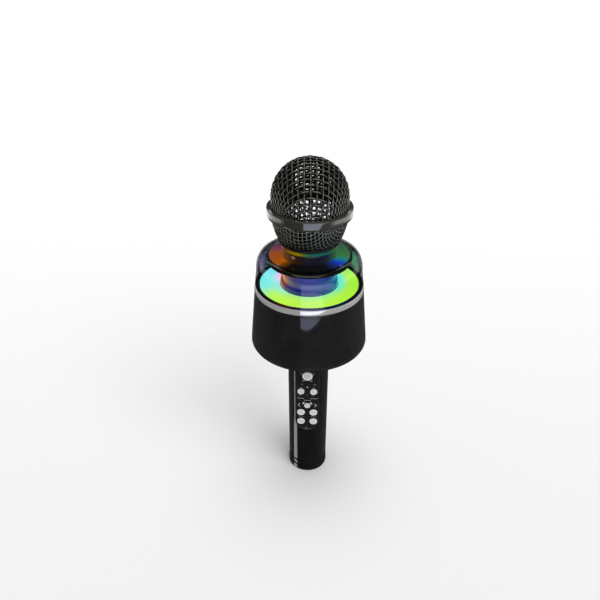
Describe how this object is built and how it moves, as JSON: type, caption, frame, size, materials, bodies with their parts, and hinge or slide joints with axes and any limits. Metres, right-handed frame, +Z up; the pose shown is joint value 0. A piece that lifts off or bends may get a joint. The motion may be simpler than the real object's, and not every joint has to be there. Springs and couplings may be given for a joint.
{
  "type": "karaoke microphone",
  "caption": "Handheld karaoke microphone with a woven ball head, a clear light dome, a round perforated loudspeaker and a slim handle with a button panel.",
  "frame": {"origin": "centre of the flat base, which the microphone stands on", "axes": "+Z up the handle to the ball head, -Y towards the button panel"},
  "size_m": [0.0802, 0.0802, 0.2507],
  "materials": {
    "handle_black": "glossy black moulded plastic",
    "panel_black": "slightly softer black than the handle",
    "shell_black": "fine satin texture",
    "sleeve_black": "perforated steel, satin black paint",
    "mesh_wire": "dark nickel-plated woven wire",
    "band_metal": "plated and lightly tarnished",
    "bright_chrome": "mirror plating",
    "smoke_clear": "smoke-tinted clear plastic",
    "milky_lens": "milky light diffuser",
    "mirror_blue": "dark mirror finish that picks up the light colours",
    "button_silver": "silver-grey pearl lacquer",
    "seal_rubber": "matt",
    "board_green": "solder mask",
    "inner_steel": "zinc-plated",
    "cone_card": "pressed paper cone",
    "cell_wrap": "shrink sleeve"
  },
  "bodies": {
    "microphone": {"upper_grille": "mesh_wire", "lower_grille": "mesh_wire", "grille_band": "band_metal", "grille_collar": "shell_black", "head_washer": "smoke_clear", "capsule_mount": "shell_black", "capsule_boot": "seal_rubber", "capsule": "inner_steel", "neck_tube": "shell_black", "neck_collar": "handle_black", "collar_screw": "inner_steel", "top_disc": "mirror_blue", "dome_trim": "handle_black", "dome_shell": "smoke_clear", "light_column": "mirror_blue", "column_base": "mirror_blue", "led_diffuser": "milky_lens", "led_board": "board_green", "dome_seat": "shell_black", "chrome_ring": "bright_chrome", "led_deck": "shell_black", "speaker_sleeve": "sleeve_black", "speaker_cage": "shell_black", "speaker_base": "shell_black", "handle_nut": "inner_steel", "driver_deck": "shell_black", "driver_basket": "inner_steel", "driver_magnet": "inner_steel", "driver_surround": "seal_rubber", "sound_deflector": "shell_black", "handle_tube": "handle_black", "panel_plate": "panel_black", "status_lamp": "milky_lens", "volume_slider": "inner_steel", "echo_slider": "inner_steel", "main_board": "board_green", "battery_cell": "cell_wrap", "battery_pad": "seal_rubber", "tail_ring": "handle_black", "tail_cap": "handle_black", "tail_board": "board_green", "charge_socket": "inner_steel", "card_socket": "inner_steel", "aux_socket": "shell_black", "tail_screw_1": "inner_steel", "tail_screw_2": "inner_steel", "head_cable": "seal_rubber", "speaker_cable": "seal_rubber", "battery_cable": "seal_rubber"},
    "power_button": {"power_button": "button_silver"},
    "play_button": {"play_button": "button_silver"},
    "previous_button": {"previous_button": "button_silver"},
    "next_button": {"next_button": "button_silver"},
    "record_button": {"record_button": "button_silver"},
    "mode_button": {"mode_button": "button_silver"},
    "volume_knob": {"volume_knob": "button_silver"},
    "echo_knob": {"echo_knob": "button_silver"},
    "driver_cone": {"driver_cone": "cone_card"}
  },
  "joints": [
    {"name": "power_press", "type": "slide", "parent": "microphone", "child": "power_button", "axis": [0, 1, 0], "range_m": [0, 0.0006], "stiffness_N_per_m": 2500},
    {"name": "play_press", "type": "slide", "parent": "microphone", "child": "play_button", "axis": [0, 1, 0], "range_m": [0, 0.0006], "stiffness_N_per_m": 2500},
    {"name": "previous_press", "type": "slide", "parent": "microphone", "child": "previous_button", "axis": [0, 1, 0], "range_m": [0, 0.0006], "stiffness_N_per_m": 2500},
    {"name": "next_press", "type": "slide", "parent": "microphone", "child": "next_button", "axis": [0, 1, 0], "range_m": [0, 0.0006], "stiffness_N_per_m": 2500},
    {"name": "record_press", "type": "slide", "parent": "microphone", "child": "record_button", "axis": [0, 1, 0], "range_m": [0, 0.0006], "stiffness_N_per_m": 2500},
    {"name": "mode_press", "type": "slide", "parent": "microphone", "child": "mode_button", "axis": [0, 1, 0], "range_m": [0, 0.0006], "stiffness_N_per_m": 2500},
    {"name": "volume_slide", "type": "slide", "parent": "microphone", "child": "volume_knob", "axis": [0, 0, 1], "range_m": [-0.003, 0.003]},
    {"name": "echo_slide", "type": "slide", "parent": "microphone", "child": "echo_knob", "axis": [0, 0, 1], "range_m": [-0.003, 0.003]},
    {"name": "cone_stroke", "type": "slide", "parent": "microphone", "child": "driver_cone", "axis": [0, 0, 1], "range_m": [-0.0006, 0.0006], "stiffness_N_per_m": 1500}
  ]
}
